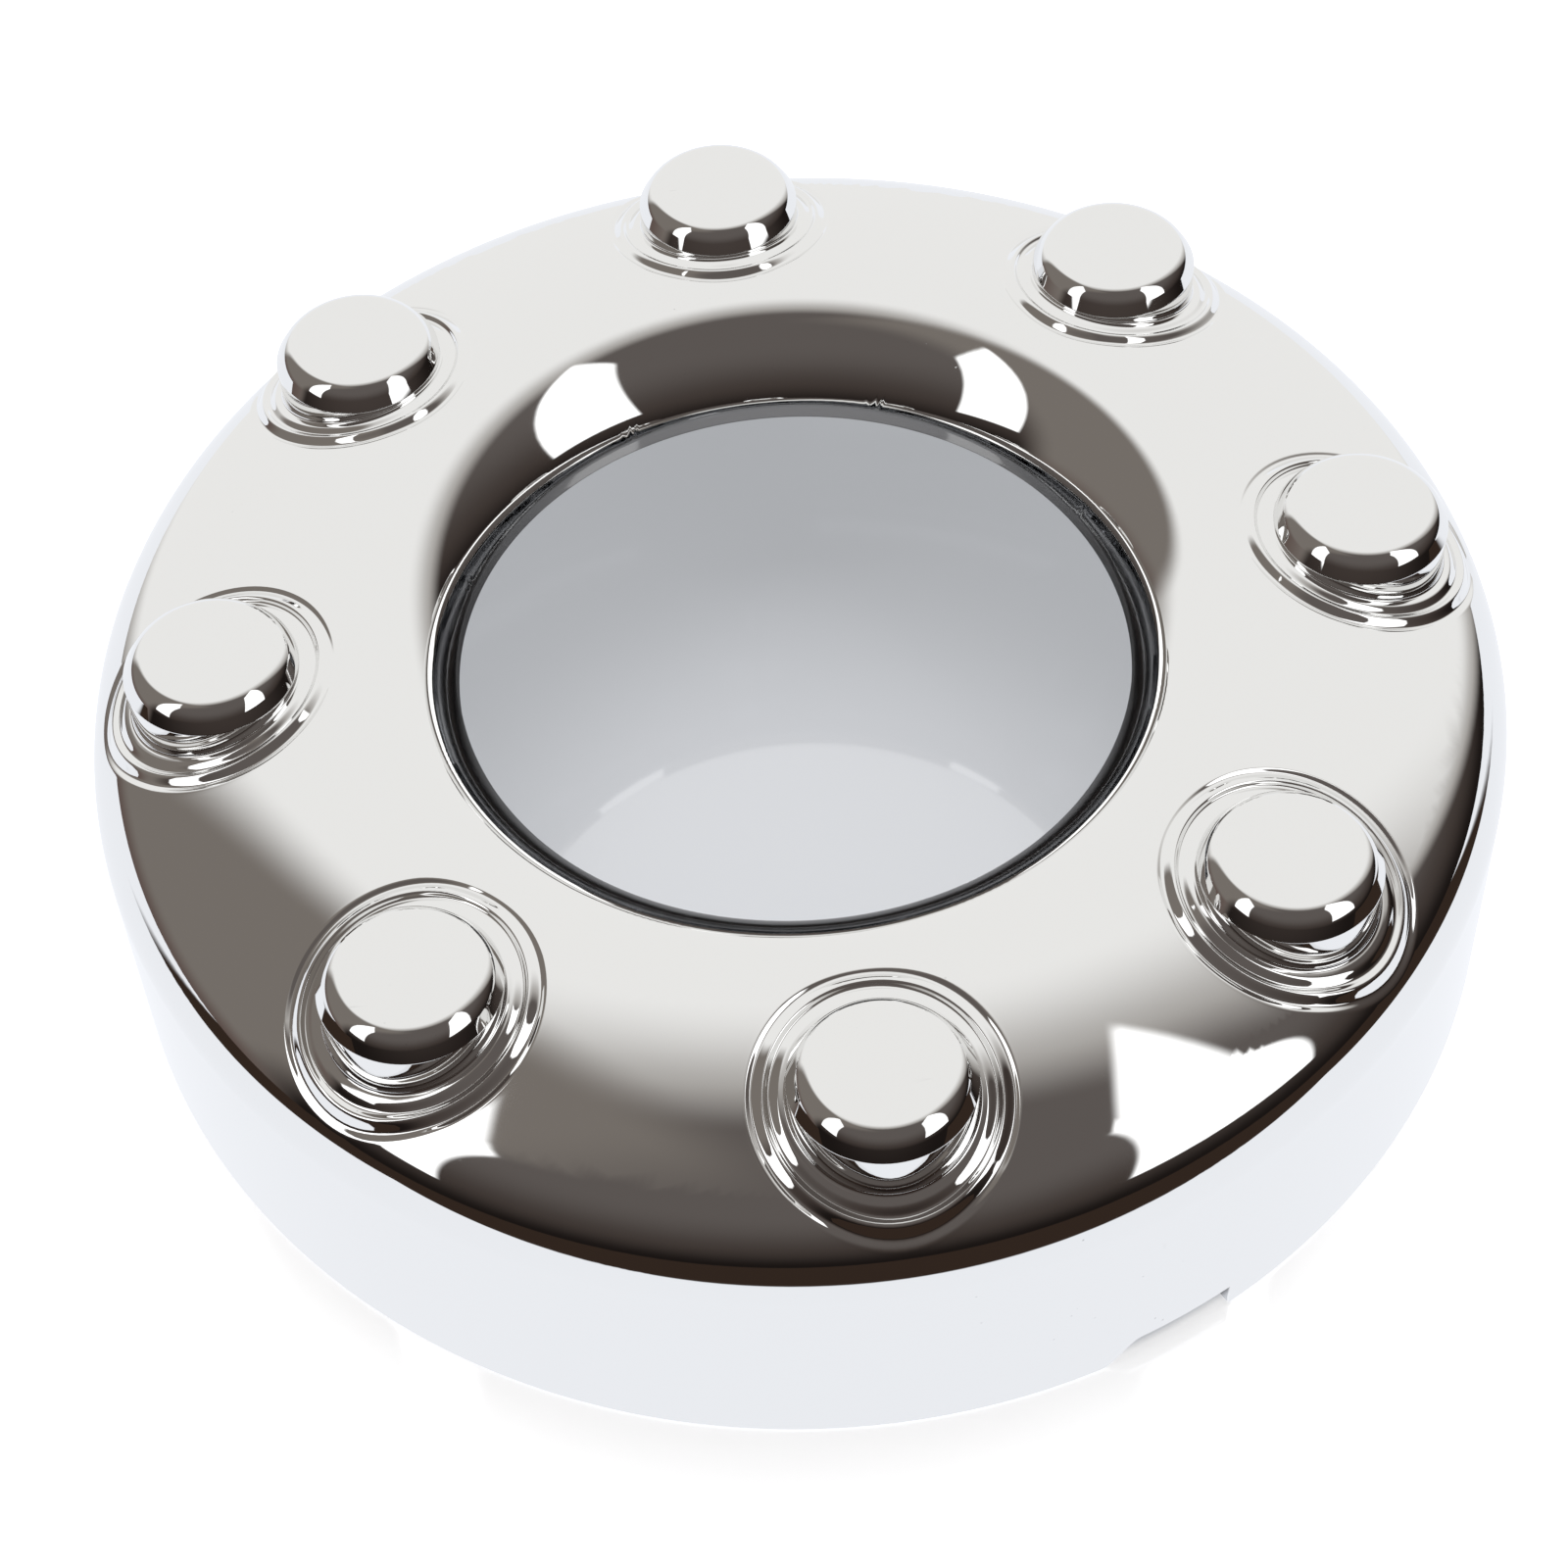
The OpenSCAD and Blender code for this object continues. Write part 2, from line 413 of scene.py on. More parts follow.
def cover_top_loops(mid, phi):
    """Cover from its middle down to its side, and the height at which the side starts."""
    slope = math.atan2(BEVEL_H, BEVEL_W)
    flat_r = COVER_R - BEVEL_W
    round_x = flat_r - COVER_ROUND * math.tan(slope / 2)
    loops = [upright_loop(mid, phi, r, COVER_H) for r in (*TOP_RADII, round_x)]
    for a in np.linspace(0, slope, RIM_STEPS)[1:]:
        r = round_x + COVER_ROUND * math.sin(a)
        loops.append(upright_loop(mid, phi, r, COVER_H - COVER_ROUND * (1 - math.cos(a))))
    cut = COVER_SOFT * math.tan((math.pi / 2 - slope) / 2)
    cx, cz = COVER_R - COVER_SOFT, COVER_H - BEVEL_H - cut
    for a in np.linspace(slope, math.pi / 2, SOFT_STEPS):
        r, z = cx + COVER_SOFT * math.sin(a), cz + COVER_SOFT * math.cos(a)
        loops.append(upright_loop(mid, phi, r, z))
    return loops, cz


top_loops, side_start = cover_top_loops(MIDS[0], first_phi)
print("loops of a cover's top: %d, side from %.2f mm down" % (len(top_loops), side_start))

# %% [markdown]
# The foot of a cover meets a sloping surface, so its height differs all round. A bevel on a
# finished mesh could round it, but the net can do it from the start: the slope is measured
# just outside the side, and a smooth curve leads from the side onto the surface.

# %% Foot of a cover
FOOT_PROBE = 0.15
FILLET_RISE, FILLET_SHARE, FILLET_LEAST = 0.6, 0.75, 0.05
SIDE_LOOPS, FILLET_STEPS = 4, 6


def bend(start, corner, end, t):
    """Value along a smooth curve that starts and ends in the direction of its corner."""
    return (1 - t) ** 2 * start + 2 * t * (1 - t) * corner + t * t * end


def foot_loops(mid, phi, side_top):
    """The cover's side and the fillet from it onto the ring's surface."""
    edge = ring_loop(mid, phi, FOOT_R)
    near = ring_loop(mid, phi, FOOT_R - FOOT_PROBE)
    fall = (near[:, 2] - edge[:, 2]) / FOOT_PROBE
    corner_z = edge[:, 2] + fall * (FOOT_R - COVER_R)
    rise = np.minimum(FILLET_RISE, FILLET_SHARE * (side_top - corner_z))
    top_z = corner_z + np.maximum(rise, FILLET_LEAST)
    loops = []
    for i in range(1, SIDE_LOOPS + 1):
        z = side_top + (top_z - side_top) * i / SIDE_LOOPS
        loops.append(upright_loop(mid, phi, COVER_R, z))
    for t in np.linspace(0, 1, FILLET_STEPS)[1:]:
        z = bend(top_z, corner_z, edge[:, 2], t)
        loops.append(upright_loop(mid, phi, bend(COVER_R, COVER_R, FOOT_R, t), z))
    return loops


foot_heights = foot_loops(MIDS[0], first_phi, side_start)[-1][:, 2]
print("foot of a cover: %.1f to %.1f mm high" % (foot_heights.min(), foot_heights.max()))

# %% [markdown]
# The outside of an eighth is now a list of loops: the cover, its foot, the rings in fine steps,
# and the way out to the rim in steps that grow shorter towards both ends.

# %% Outside of one eighth
RING_LOOPS = [
    15.62, 15.9, 16.1, 16.3, 16.5, 16.75, 17.1, 17.4, 17.6, 17.75, 17.9, 18.05, 18.2, 18.35,
    18.5, 18.65, 18.8, 19.0, 19.3, 19.7, 20.05, 20.25, 20.4, 20.55, 20.75, 21.0, 21.25,
    21.4, 21.55, 21.75, 22.0,
]
BLEND_LOOPS = [
    0.03, 0.07, 0.12, 0.18, 0.24, 0.31, 0.38, 0.45, 0.52, 0.59, 0.66, 0.73, 0.79, 0.85, 0.9,
    0.95, 1.0,
]


def outer_net(mid):
    """All loops of one eighth's outside, from the cover's middle to the rim."""
    s1, az1 = rim(mid)
    phi = spread_angles(mid, s1, az1)
    loops, side_top = cover_top_loops(mid, phi)
    loops += foot_loops(mid, phi, side_top)
    loops += [ring_loop(mid, phi, rho) for rho in RING_LOOPS]
    loops += [blend_loop(mid, phi, RING_LOOPS[-1], s1, az1, t) for t in BLEND_LOOPS]
    return loops


print("loops outside one eighth:", len(outer_net(MIDS[0])))

# %% [markdown]
# Behind each cover a pocket drops over the nut, inside a sleeve that hangs from the ring. The
# pocket, the sleeve's lower edge and the back of the ring are one more list of loops. It could
# be left out, since only the hole shows it, but then the cap would have no thickness.

# %% Inside of one eighth
ROOF_RADIUS = 4.5
ROOF_SOFT, BEVEL_SOFT = 0.3, 0.2
SLEEVE_SOFT, SOFT_IN, SOFT_UP = 0.5, 0.15, 0.1
BACK_ROUND, BACK_DROP = 1.2, 1.0
SLEEVE_LOOPS, BACK_LOOPS = (0.3, 0.65, 1.0), (0.3, 0.6, 0.85)
INNER_BLEND_LOOPS = (0.1, 0.25, 0.4, 0.6, 0.8, 0.9, 1.0)
roof_z, roof_r = COVER_H - ROOF, POCKET_R - BEVEL_W
POCKET_POINTS = [
    (ROOF_RADIUS, roof_z),
    (roof_r - ROOF_SOFT, roof_z),
    (roof_r, roof_z),
    (roof_r + BEVEL_SOFT, roof_z - ROOF_SOFT),
    (POCKET_R - SOFT_IN, roof_z - BEVEL_H + ROOF_SOFT),
    (POCKET_R, roof_z - BEVEL_H - BEVEL_SOFT),
    (POCKET_R, SLEEVE_BOTTOM + SLEEVE_SOFT),
    (POCKET_R + SOFT_IN, SLEEVE_BOTTOM + SOFT_UP),
    (POCKET_R + SLEEVE_SOFT, SLEEVE_BOTTOM),
    (COVER_R - SLEEVE_SOFT, SLEEVE_BOTTOM),
    (COVER_R - SOFT_IN, SLEEVE_BOTTOM + SOFT_UP),
    (COVER_R, SLEEVE_BOTTOM + SLEEVE_SOFT),
]


def inner_net(mid):
    """All loops of one eighth's inside: pocket, sleeve and the back of the ring."""
    s1, az1 = rim(mid)
    phi = spread_angles(mid, s1, az1)
    loops = [upright_loop(mid, phi, r, z) for r, z in POCKET_POINTS]
    edge = ring_loop(mid, phi, COVER_R + BACK_ROUND, inset=WALL, pressed=False)
    foot = edge[:, 2] - BACK_DROP
    for t in SLEEVE_LOOPS:
        z = SLEEVE_BOTTOM + SLEEVE_SOFT + (foot - SLEEVE_BOTTOM - SLEEVE_SOFT) * t
        loops.append(upright_loop(mid, phi, COVER_R, z))
    for t in BACK_LOOPS:
        z = foot + (edge[:, 2] - foot) * (1 - (1 - t) ** 2)
        loops.append(upright_loop(mid, phi, COVER_R + BACK_ROUND * t * t, z))
    loops.append(edge)
    for t in INNER_BLEND_LOOPS:
        loops.append(blend_loop(mid, phi, COVER_R + BACK_ROUND, s1, az1, t, inset=WALL))
    return loops


print("loops inside one eighth:", len(inner_net(MIDS[0])))

# %% [markdown]
# Below the outer rims hangs the skirt, a nearly straight wall with a little draft, which lets
# it leave its mould. Its lower edge is rounded and follows the notch. A lathe could turn it,
# but not with a notch, so its loops take the height of the edge at each azimuth.

# %% Loops of the skirt
QUARTER = np.radians([0, 22.5, 45, 67.5, 90])
SKIRT_SOFT = 0.5
SKIRT_OUT_LOOPS, SKIRT_IN_LOOPS = (0.06, 0.2, 0.4, 0.6, 0.8, 0.95), (0.08, 0.3, 0.55, 0.8)


def round_loop(az, r, z, facing=0.0):
    """Loop round the cap's axis; facing is 1 or -1 where its normal is straight out or in."""
    return np.stack([r * np.cos(az), r * np.sin(az), z + 0 * az,
                     facing * np.cos(az), facing * np.sin(az), 0 * az], axis=-1)


def skirt_r(z, inset):
    """Radius of the skirt's face at a height."""
    return BASE_R - inset - (BASE_R - SKIRT_TOP_R) * z / SKIRT_H


def skirt_loops():
    """Loops from the outer rim down the skirt and round its edge, and those up its inside."""
    deg = np.array([a for mid in MIDS for a in outer_azimuths(mid)[:-1]])
    az = np.radians(deg)
    low = np.array([edge_height(a) for a in deg])
    outside = [round_loop(az, SKIRT_TOP_R, SKIRT_H, 1.0)]
    for t in SKIRT_OUT_LOOPS:
        z = SKIRT_H + (low + SKIRT_SOFT - SKIRT_H) * t
        outside.append(round_loop(az, skirt_r(z, 0), z))
    for a in QUARTER:
        z = low + SKIRT_SOFT * (1 - math.sin(a))
        outside.append(round_loop(az, skirt_r(z, 0) - SKIRT_SOFT * (1 - math.cos(a)), z))
    inside = [outside[-1]]
    for a in QUARTER[::-1]:
        z = low + SKIRT_SOFT * (1 - math.sin(a))
        inside.append(round_loop(az, skirt_r(z, WALL) + SKIRT_SOFT * (1 - math.cos(a)), z))
    for t in SKIRT_IN_LOOPS:
        z = low + SKIRT_SOFT + (SKIRT_H - low - SKIRT_SOFT) * t
        inside.append(round_loop(az, skirt_r(z, WALL), z))
    inside.append(round_loop(az, SKIRT_TOP_R - WALL, SKIRT_H, 1.0))
    return outside, inside


print("loops of the skirt, outside and inside:", [len(part) for part in skirt_loops()])

# %% [markdown]
# At the hole the surface turns down into a short wall. It could end in a sharp cut, but a
# moulded edge is always a little round, and that rounding catches light all round the hole.

# %% Loops of the lip
LIP_SOFT = 0.45
LIP_LOOPS = (0.3, 0.7)


def lip_loops():
    """Loops from the inner rim down the hole's wall and round its edge, and up its back."""
    deg = [np.linspace(mid - HALF_DEG, mid + HALF_DEG, N_IN + 1)[:-1] for mid in MIDS]
    az = np.radians(np.concatenate(deg))
    foot = LIP_BOTTOM + LIP_SOFT
    outside = [round_loop(az, HOLE_R, lip_c[1], -1.0)]
    for t in LIP_LOOPS:
        outside.append(round_loop(az, HOLE_R, lip_c[1] + (foot - lip_c[1]) * t, -1.0))
    for a in QUARTER:
        r = HOLE_R + LIP_SOFT * (1 - math.cos(a))
        outside.append(round_loop(az, r, foot - LIP_SOFT * math.sin(a)))
    inside = [outside[-1]]
    for a in QUARTER[::-2]:
        r = HOLE_R + WALL - LIP_SOFT * (1 - math.cos(a))
        inside.append(round_loop(az, r, foot - LIP_SOFT * math.sin(a)))
    inside.append(round_loop(az, HOLE_R + WALL, lip_c[1], -1.0))
    return outside, inside


print("loops of the lip, outside and inside:", [len(part) for part in lip_loops()])

# %% [markdown]
# All loops now become one closed skin. Quads are laid between consecutive loops, and where two
# nets meet, their points are equal and are merged later. Each face remembers whether it is on
# the inside, because the two sides have different finishes.

# %% One closed skin for the whole moulding
class Skin:
    """Gathers points, their known normals and the faces of one closed surface."""

    def __init__(self):
        self.points = []
        self.faces = []
        self.inside = []

    def loop(self, pts, side=1.0):
        """Adds points and gives their numbers; side is -1 where the normals are turned round."""
        start = sum(len(p) for p in self.points)
        self.points.append(np.column_stack([pts[:, :3], side * pts[:, 3:6]]))
        return np.arange(start, start + len(pts))

    def face(self, ids, inside):
        """Adds one face from the numbers of its points."""
        self.faces.append(tuple(int(v) for v in ids))
        self.inside.append(inside)

    def band(self, a, b, inside, flip):
        """Adds the quads between two loops."""
        for i in range(len(a)):
            j = (i + 1) % len(a)
            self.face((a[i], b[i], b[j], a[j]) if flip else (a[i], a[j], b[j], b[i]), inside)

    def net(self, loops, inside=False, flip=False, capped=False):
        """Adds a list of loops, closed by a fan of triangles in the first one if capped."""
        ids = [self.loop(p, -1.0 if inside else 1.0) for p in loops]
        if capped:
            middle = self.loop(loops[0].mean(axis=0)[None, :])[0]
            for i, first in enumerate(ids[0]):
                after = ids[0][(i + 1) % len(ids[0])]
                self.face((after, first, middle) if flip else (first, after, middle), inside)
        for a, b in zip(ids, ids[1:]):
            self.band(a, b, inside, not flip)

    def box(self, corners):
        """Adds a closed plate from two outlines of the same number of points."""
        low, high = [self.loop(c) for c in corners]
        self.band(low, high, True, False)
        self.face(low[::-1], True)
        self.face(high, True)


skin = Skin()
for mid in MIDS:
    skin.net(outer_net(mid), capped=True)
    skin.net(inner_net(mid), inside=True, flip=True, capped=True)
for (outside, inside), flip in ((skirt_loops(), False), (lip_loops(), True)):
    skin.net(outside, flip=flip)
    skin.net(inside, inside=True, flip=flip)
print("points and faces before merging:", sum(len(p) for p in skin.points), len(skin.faces))

# %% [markdown]
# Thin ribs stand behind the ring. One plate runs from the lip's back to the sleeve and one from
# the sleeve to the skirt. They could be joined to the walls by a Boolean. Plain closed plates
# whose ends and top edges sit inside the walls look the same and keep the skin's net clean.

# %% Ribs
RIB_BITE = 0.8
RIB_FOOT_LIFT = 0.4
RIB_LIP_GAP, RIB_SKIRT_GAP = 0.6, 1.2
RIB_SKIRT_TOP = 44.0
STEEPEST = 0.35
INNER_TOP_POINTS, OUTER_TOP_POINTS = 9, 6


def plate(mid, outline):
    """Closed plate in the plane of a cover's radius, from points of radius and height."""
    sides = []
    for y in (-RIB_T / 2, RIB_T / 2):
        flat = [(*local(mid, r, y), z, 0.0, 0.0, 0.0) for r, z in outline]
        sides.append(np.array(flat))
    skin.box(sides)


def wall_middle(r):
    """Radius and height of the middle of the ring's wall."""
    _, z, _, nz = section_at(length_at_radius(r))
    return r, z - 0.5 * WALL / max(nz, STEEPEST)


sleeve_in = LUG_R - COVER_R + RIB_BITE
sleeve_out = LUG_R + COVER_R - RIB_BITE
skirt_middle = SKIRT_TOP_R - WALL / 2
foot_r, foot_z = HOLE_R + WALL / 2, LIP_BOTTOM + RIB_FOOT_LIFT
slope_z = RIB_BOTTOM + (foot_z - RIB_BOTTOM) * (LUG_R - sleeve_in) / (LUG_R - foot_r)
inner_outline = [(foot_r, foot_z), (sleeve_in, slope_z)]
for r in np.linspace(sleeve_in, HOLE_R + WALL + RIB_LIP_GAP, INNER_TOP_POINTS):
    inner_outline.append(wall_middle(r))
outer_outline = [(sleeve_out, RIB_BOTTOM), (skirt_middle, RIB_BOTTOM),
                 (skirt_middle, RIB_SKIRT_TOP)]
for r in np.linspace(skirt_middle - RIB_SKIRT_GAP, sleeve_out, OUTER_TOP_POINTS):
    outer_outline.append(wall_middle(r))
first_rib_face = len(skin.faces)
for mid in MIDS:
    plate(mid, inner_outline)
    plate(mid, outer_outline)
print("rib faces:", len(skin.faces) - first_rib_face)

# %% [markdown]
# The points become one Blender mesh, and equal points of neighbouring nets are merged. The
# known normals travel with the points as an attribute, so that merging doesn't mix them up.

# %% Mesh of the cap
MERGE_DIST = 2e-6


def build_mesh(name):
    """One mesh from the skin: slot 0 outside, slot 1 inside, and flat shading on the ribs."""
    rows = np.concatenate(skin.points)
    mesh = bpy.data.meshes.new(name)
    mesh.from_pydata((rows[:, :3] * MM).tolist(), [], skin.faces)
    known = mesh.attributes.new("known_normal", "FLOAT_VECTOR", "POINT")
    known_rows = np.ascontiguousarray(rows[:, 3:], dtype=np.float32)
    known.data.foreach_set("vector", known_rows.ravel())
    mesh.polygons.foreach_set("material_index", np.array(skin.inside, dtype=np.int32))
    mesh.polygons.foreach_set("use_smooth", np.arange(len(skin.faces)) < first_rib_face)
    bm = bmesh.new()
    bm.from_mesh(mesh)
    bmesh.ops.remove_doubles(bm, verts=bm.verts, dist=MERGE_DIST)
    bm.to_mesh(mesh)
    bm.free()
    mesh.update()
    return mesh


cap_mesh = build_mesh("plated_cap")
print("cap: %d points, %d triangles" % (
    len(cap_mesh.vertices), sum(p.loop_total - 2 for p in cap_mesh.polygons)))

# %% [markdown]
# A mirror shows every wrong normal. Smooth shading alone leans each normal towards its largest
# faces, which bends the reflections. So where the surface's formula gives the normal, the point
# keeps it. Elsewhere it is the sum of the faces' normals weighted by their area: broad faces
# keep their own direction, and the narrow ones in the fillets turn between them.

# %% Mirror-true normals
TINY = 1e-12


def read(items, name, dtype, width=1):
    """All values of one property of a mesh's parts as an array."""
    values = np.empty(len(items) * width, dtype=dtype)
    items.foreach_get(name, values)
    return values.reshape(-1, width) if width > 1 else values


def set_normals(mesh):
    """Gives every corner its normal: known, or from area, or its flat face's own."""
    corner_point = read(mesh.loops, "vertex_index", np.int32)
    normal = read(mesh.polygons, "normal", float, 3)
    area = read(mesh.polygons, "area", float)
    smooth = read(mesh.polygons, "use_smooth", bool)
    corner_face = np.repeat(np.arange(len(area)), read(mesh.polygons, "loop_total", np.int32))
    total = np.zeros((len(mesh.vertices), 3))
    np.add.at(total, corner_point, normal[corner_face] * area[corner_face][:, None])
    total /= np.maximum(np.linalg.norm(total, axis=1), TINY)[:, None]
    known = read(mesh.attributes["known_normal"].data, "vector", np.float32, 3)
    is_known = known.any(axis=1)
    total[is_known] = known[is_known]
    mesh.attributes.remove(mesh.attributes["known_normal"])
    corners = np.where(smooth[corner_face][:, None], total[corner_point], normal[corner_face])
    mesh.normals_split_custom_set(corners.tolist())
    return int(is_known.sum())


print("points with a known normal:", set_normals(cap_mesh))
cap = bpy.data.objects.new("plated_cap", cap_mesh)
bpy.context.scene.collection.objects.link(cap)

# %% [markdown]
# Helpers for the node trees: a node by its type, a link, a plain maths step, and a smooth step
# between two values. Effects that more than one finish uses are kept in node groups, each
# built once, with a named input for what differs.

# %% Node helpers
def add(tree, kind, **values):
    """Node of a kind, with its settings."""
    node = tree.nodes.new(kind)
    for key, value in values.items():
        setattr(node, key, value)
    return node


def feed(tree, source, target):
    """Link from an output to an input."""
    tree.links.new(source, target)


def maths(tree, operation, a, b=None):
    """Output of a maths node; a and b are numbers or other outputs."""
    node = add(tree, "ShaderNodeMath", operation=operation)
    for socket, value in zip(node.inputs, (a, b)):
        if value is None:
            continue
        if isinstance(value, (int, float)):
            socket.default_value = value
        else:
            feed(tree, value, socket)
    return node.outputs[0]


def between(tree, value, low, high, from_v=0.0, to_v=1.0):
    """Smooth step from one value to another while an output goes from low to high."""
    node = add(tree, "ShaderNodeMapRange", interpolation_type="SMOOTHSTEP")
    feed(tree, value, node.inputs["Value"])
    node.inputs["From Min"].default_value = low
    node.inputs["From Max"].default_value = high
    node.inputs["To Min"].default_value = from_v
    node.inputs["To Max"].default_value = to_v
    return node.outputs["Result"]


def new_group(name, label, value, result):
    """Node group with one numeric input and one numeric output."""
    group = bpy.data.node_groups.new(name, "ShaderNodeTree")
    socket = group.interface.new_socket(label, in_out="INPUT", socket_type="NodeSocketFloat")
    socket.default_value = value
    group.interface.new_socket(result, in_out="OUTPUT", socket_type="NodeSocketFloat")
    return group, group.nodes.new("NodeGroupInput"), group.nodes.new("NodeGroupOutput")


print("node helpers ready")

# %% [markdown]
# Plating is never perfectly flat. The moulding under it sinks and swells by a hair over a few
# centimetres, which bends reflected edges. That could be modelled, but it is far too shallow to
# show in the outline, so a soft noise gives its height to a bump.

# %% Group: sink of the moulding
SINK_SCALE, SINK_DETAIL, SINK_ROUGHNESS = 30.0, 1.0, 0.4


def make_sink_group():
    """Height of slow swells over the moulding."""
    group, inp, out = new_group("moulding_sink", "Scale", SINK_SCALE, "Height")
    coord = add(group, "ShaderNodeTexCoord")
    broad = add(group, "ShaderNodeTexNoise")
    broad.inputs["Detail"].default_value = SINK_DETAIL
    broad.inputs["Roughness"].default_value = SINK_ROUGHNESS
    feed(group, coord.outputs["Object"], broad.inputs["Vector"])
    feed(group, inp.outputs["Scale"], broad.inputs["Scale"])
    feed(group, broad.outputs["Fac"], out.inputs["Height"])
    return group


sink_group = make_sink_group()
print("group:", sink_group.name)

# %% [markdown]
# A cap that has been handled has a few hairlines and specks, gathered in patches. Painting them
# would need a picture; a stretched noise cut off near its top gives the hairlines, the middles
# of small cells the specks, and a broad noise says where they lie.

# %% Group: marks of handling
HAIR_SCALE, HAIR_TURN, HAIR_DETAIL = (60.0, 420.0, 60.0), (0.3, 0.2, 0.9), 3.0
SPECK_SCALE, PATCH_SCALE = 260.0, 22.0
HAIR_CUT, SPECK_CUT, PATCH_CUT = (0.72, 0.78), (0.07, 0.03), (0.6, 0.72)


def make_marks_group():
    """Mask of hairlines and specks."""
    group, inp, out = new_group("handling_marks", "Amount", 1.0, "Mask")
    coord = add(group, "ShaderNodeTexCoord")
    stretch = add(group, "ShaderNodeMapping")
    stretch.inputs["Scale"].default_value = HAIR_SCALE
    stretch.inputs["Rotation"].default_value = HAIR_TURN
    feed(group, coord.outputs["Object"], stretch.inputs["Vector"])
    lines = add(group, "ShaderNodeTexNoise")
    lines.inputs["Scale"].default_value = 1.0
    lines.inputs["Detail"].default_value = HAIR_DETAIL
    feed(group, stretch.outputs["Vector"], lines.inputs["Vector"])
    hair = between(group, lines.outputs["Fac"], *HAIR_CUT)
    specks = add(group, "ShaderNodeTexVoronoi")
    specks.inputs["Scale"].default_value = SPECK_SCALE
    feed(group, coord.outputs["Object"], specks.inputs["Vector"])
    dot = between(group, specks.outputs["Distance"], *SPECK_CUT)
    patch = add(group, "ShaderNodeTexNoise")
    patch.inputs["Scale"].default_value = PATCH_SCALE
    feed(group, coord.outputs["Object"], patch.inputs["Vector"])
    where = between(group, patch.outputs["Fac"], *PATCH_CUT)
    both = maths(group, "MULTIPLY", maths(group, "MAXIMUM", hair, dot), where)
    feed(group, maths(group, "MULTIPLY", both, inp.outputs["Amount"]), out.inputs["Mask"])
    return group


marks_group = make_marks_group()
print("group:", marks_group.name)

# %% [markdown]
# The outside is a bright mirror: a metal with almost no roughness, a little warmer than pure
# white. The inside carries the same plating over an unpolished mould face, so it is duller and
# cloudier. Both come from one recipe with different values.

# %% Finishes
CLOUD_SCALE, CLOUD_FADE = 40.0, (0.35, 0.7)
MARK_ROUGHNESS = 0.25


def make_plate(name, tint, dull_tint, rough, rough_spread, bump, distance, scale, marks):
    """Plated finish: its colour and that of its marks, its roughness, and its bump."""
    material = bpy.data.materials.new(name)
    material.use_nodes = True
    tree = material.node_tree
    shader = tree.nodes["Principled BSDF"]
    shader.inputs["Metallic"].default_value = 1.0
    sink = add(tree, "ShaderNodeGroup", node_tree=sink_group)
    sink.inputs["Scale"].default_value = scale
    scuffs = add(tree, "ShaderNodeGroup", node_tree=marks_group)
    scuffs.inputs["Amount"].default_value = marks
    colour = add(tree, "ShaderNodeMix", data_type="RGBA")
    colour.inputs["A"].default_value = tint
    colour.inputs["B"].default_value = dull_tint
    feed(tree, scuffs.outputs["Mask"], colour.inputs["Factor"])
    feed(tree, colour.outputs["Result"], shader.inputs["Base Color"])
    cloud = add(tree, "ShaderNodeTexNoise")
    cloud.inputs["Scale"].default_value = CLOUD_SCALE
    coord = add(tree, "ShaderNodeTexCoord")
    feed(tree, coord.outputs["Object"], cloud.inputs["Vector"])
    spread = between(tree, cloud.outputs["Fac"], *CLOUD_FADE, rough, rough + rough_spread)
    worn = maths(tree, "MULTIPLY", scuffs.outputs["Mask"], MARK_ROUGHNESS)
    feed(tree, maths(tree, "ADD", spread, worn), shader.inputs["Roughness"])
    relief = add(tree, "ShaderNodeBump")
    relief.inputs["Strength"].default_value = bump
    relief.inputs["Distance"].default_value = distance
    feed(tree, sink.outputs["Height"], relief.inputs["Height"])
    feed(tree, relief.outputs["Normal"], shader.inputs["Normal"])
    return material


mirror = make_plate(
    "mirror_plate", tint=(0.86, 0.86, 0.855, 1), dull_tint=(0.62, 0.62, 0.62, 1),
    rough=0.015, rough_spread=0.02, bump=0.10, distance=0.0004, scale=28.0, marks=1.0)
inside_plate = make_plate(
    "inside_plate", tint=(0.74, 0.75, 0.77, 1), dull_tint=(0.60, 0.61, 0.62, 1),
    rough=0.10, rough_spread=0.10, bump=0.4, distance=0.0006, scale=60.0, marks=0.6)
cap_mesh.materials.append(mirror)
cap_mesh.materials.append(inside_plate)
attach(cap, "root")
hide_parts("cap_shell")
print("finishes:", [m.name for m in cap_mesh.materials])

# %% [markdown]
# The camera stands where the photograph was taken: about 61 cm away, 52 degrees above the
# table, with a long lens. Its place and lens were fitted to the object's outline. A fitted
# camera is better than one set by eye, because render and photograph can be laid over each
# other.

# %% Camera
FOCAL_PX, PHOTO_PX = 3334.7, 1600.0
CENTRE_PX = (777.21, 765.25)
ELEVATION, ROLL, LEAN = math.radians(51.78), math.radians(-3.63), math.radians(-4.87)
AIM = (7.66, -13.46, 613.94)
SENSOR_MM = 36.0
NEAREST, FARTHEST = 0.01, 50.0


